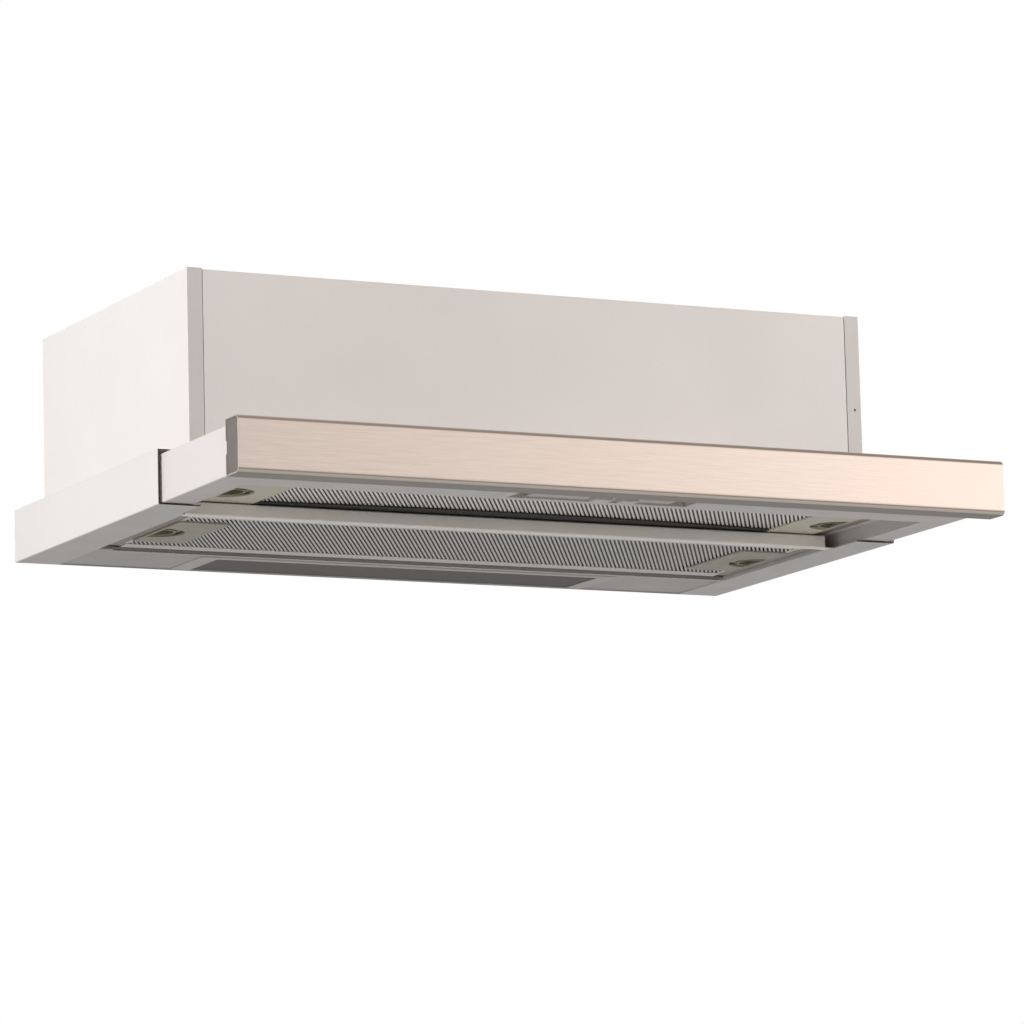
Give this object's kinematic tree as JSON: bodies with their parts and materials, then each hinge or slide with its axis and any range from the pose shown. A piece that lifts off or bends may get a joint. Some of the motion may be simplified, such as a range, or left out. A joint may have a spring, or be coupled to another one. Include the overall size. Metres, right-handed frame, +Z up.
{
  "type": "pull out range hood",
  "caption": "Slim kitchen hood for a wall cabinet, shown with its filter drawer pulled out under a box casing with a round outlet.",
  "frame": {"origin": "middle of the back plane, level with the underside of the lower housing", "axes": "+X to the right when facing the front panel, +Y to the wall behind, +Z up"},
  "size_m": [0.598, 0.424, 0.1888],
  "materials": {
    "casing_paint": "satin",
    "frame_paint": "satin",
    "drawer_paint": "satin",
    "screw_steel": "zinc plated",
    "panel_steel": "brushed along its length",
    "cap_plastic": "satin",
    "switch_plastic": "satin",
    "knob_plastic": "satin",
    "filter_frame_aluminium": "satin",
    "filter_grille_aluminium": "satin",
    "filter_mesh_aluminium": "expanded mesh layers",
    "latch_plate_plastic": "satin",
    "latch_plastic": "satin",
    "seal_foam": "matt",
    "bezel_plastic": "satin",
    "lens_glass": "frosted",
    "lamp_metal": "white",
    "socket_ceramic": "white",
    "bulb_glass": "frosted",
    "runner_steel": "zinc plated",
    "collar_plastic": "matt",
    "flap_plastic": "matt",
    "axle_steel": "turned",
    "scroll_plastic": "matt",
    "impeller_plastic": "matt",
    "motor_metal": "satin",
    "bracket_steel": "zinc plated",
    "capacitor_plastic": "satin",
    "terminal_plastic": "matt",
    "gland_plastic": "matt",
    "travel_switch_plastic": "matt",
    "plunger_plastic": "satin"
  },
  "bodies": {
    "hood": {"casing_side_left": "casing_paint", "casing_side_right": "casing_paint", "casing_front_plate": "casing_paint", "casing_rear_plate": "casing_paint", "casing_top_plate": "casing_paint", "frame_side_left": "frame_paint", "frame_side_right": "frame_paint", "frame_cross_rail": "frame_paint", "frame_rear_plate": "frame_paint", "frame_deck": "frame_paint", "casing_screws": "screw_steel", "rear_filter_frame": "filter_frame_aluminium", "rear_filter_grille": "filter_grille_aluminium", "rear_filter_mesh": "filter_mesh_aluminium", "rear_latch_plate_left": "latch_plate_plastic", "rear_latch_plate_right": "latch_plate_plastic", "lamp_bezel": "bezel_plastic", "lamp_lens": "lens_glass", "lamp_housing": "lamp_metal", "lamp_sockets": "socket_ceramic", "lamp_bulbs": "bulb_glass", "runner_fixed_left": "runner_steel", "runner_fixed_right": "runner_steel", "outlet_collar": "collar_plastic", "flap_axle": "axle_steel", "scroll_half_left": "scroll_plastic", "scroll_half_right": "scroll_plastic", "motor": "motor_metal", "motor_bracket": "bracket_steel", "motor_capacitor": "capacitor_plastic", "terminal_box": "terminal_plastic", "cable_gland": "gland_plastic", "travel_switch": "travel_switch_plastic"},
    "drawer": {"slide_side_left": "drawer_paint", "slide_side_right": "drawer_paint", "slide_front_rail": "drawer_paint", "slide_cover": "drawer_paint", "front_panel": "panel_steel", "panel_end_cap_left": "cap_plastic", "panel_end_cap_right": "cap_plastic", "panel_screws": "screw_steel", "switch_strip": "switch_plastic", "runners_moving": "runner_steel", "front_filter_frame": "filter_frame_aluminium", "front_filter_grille": "filter_grille_aluminium", "front_filter_mesh": "filter_mesh_aluminium", "front_filter_seal": "seal_foam", "front_latch_plate_left": "latch_plate_plastic", "front_latch_plate_right": "latch_plate_plastic"},
    "light_knob": {"light_switch_knob": "knob_plastic"},
    "fan_knob": {"fan_switch_knob": "knob_plastic"},
    "rear_left_latch": {"rear_latch_left": "latch_plastic"},
    "rear_right_latch": {"rear_latch_right": "latch_plastic"},
    "front_left_latch": {"front_latch_left": "latch_plastic"},
    "front_right_latch": {"front_latch_right": "latch_plastic"},
    "fan_wheel": {"impeller": "impeller_plastic", "motor_shaft": "axle_steel"},
    "rear_flap": {"flap_rear": "flap_plastic"},
    "front_flap": {"flap_front": "flap_plastic"},
    "switch_plunger": {"travel_switch_plunger": "plunger_plastic"}
  },
  "joints": [
    {"name": "drawer_slide", "type": "slide", "parent": "hood", "child": "drawer", "axis": [0, -1, 0], "range_m": [-0.116, 0]},
    {"name": "light_switch_slide", "type": "slide", "parent": "drawer", "child": "light_knob", "axis": [1, 0, 0], "range_m": [-0.008, 0]},
    {"name": "fan_switch_slide", "type": "slide", "parent": "drawer", "child": "fan_knob", "axis": [1, 0, 0], "range_m": [0, 0.018]},
    {"name": "rear_left_latch_slide", "type": "slide", "parent": "hood", "child": "rear_left_latch", "axis": [1, 0, 0], "range_m": [0, 0.0055], "stiffness_N_per_m": 200, "springref_m": -0.005},
    {"name": "rear_right_latch_slide", "type": "slide", "parent": "hood", "child": "rear_right_latch", "axis": [-1, 0, 0], "range_m": [0, 0.0055], "stiffness_N_per_m": 200, "springref_m": -0.005},
    {"name": "front_left_latch_slide", "type": "slide", "parent": "drawer", "child": "front_left_latch", "axis": [1, 0, 0], "range_m": [0, 0.0055], "stiffness_N_per_m": 200, "springref_m": -0.005},
    {"name": "front_right_latch_slide", "type": "slide", "parent": "drawer", "child": "front_right_latch", "axis": [-1, 0, 0], "range_m": [0, 0.0055], "stiffness_N_per_m": 200, "springref_m": -0.005},
    {"name": "fan_spin", "type": "hinge", "parent": "hood", "child": "fan_wheel", "pos_m": [0, -0.105, 0.102], "axis": [1, 0, 0], "continuous": true},
    {"name": "rear_flap_swing", "type": "hinge", "parent": "hood", "child": "rear_flap", "pos_m": [0, -0.133, 0.178], "axis": [1, 0, 0], "range_deg": [0, 78]},
    {"name": "front_flap_swing", "type": "hinge", "parent": "hood", "child": "front_flap", "pos_m": [0, -0.133, 0.178], "axis": [-1, 0, 0], "range_deg": [0, 78]},
    {"name": "travel_switch_press", "type": "slide", "parent": "hood", "child": "switch_plunger", "axis": [0, 1, 0], "range_m": [0, 0.002], "stiffness_N_per_m": 300, "springref_m": -0.003}
  ]
}
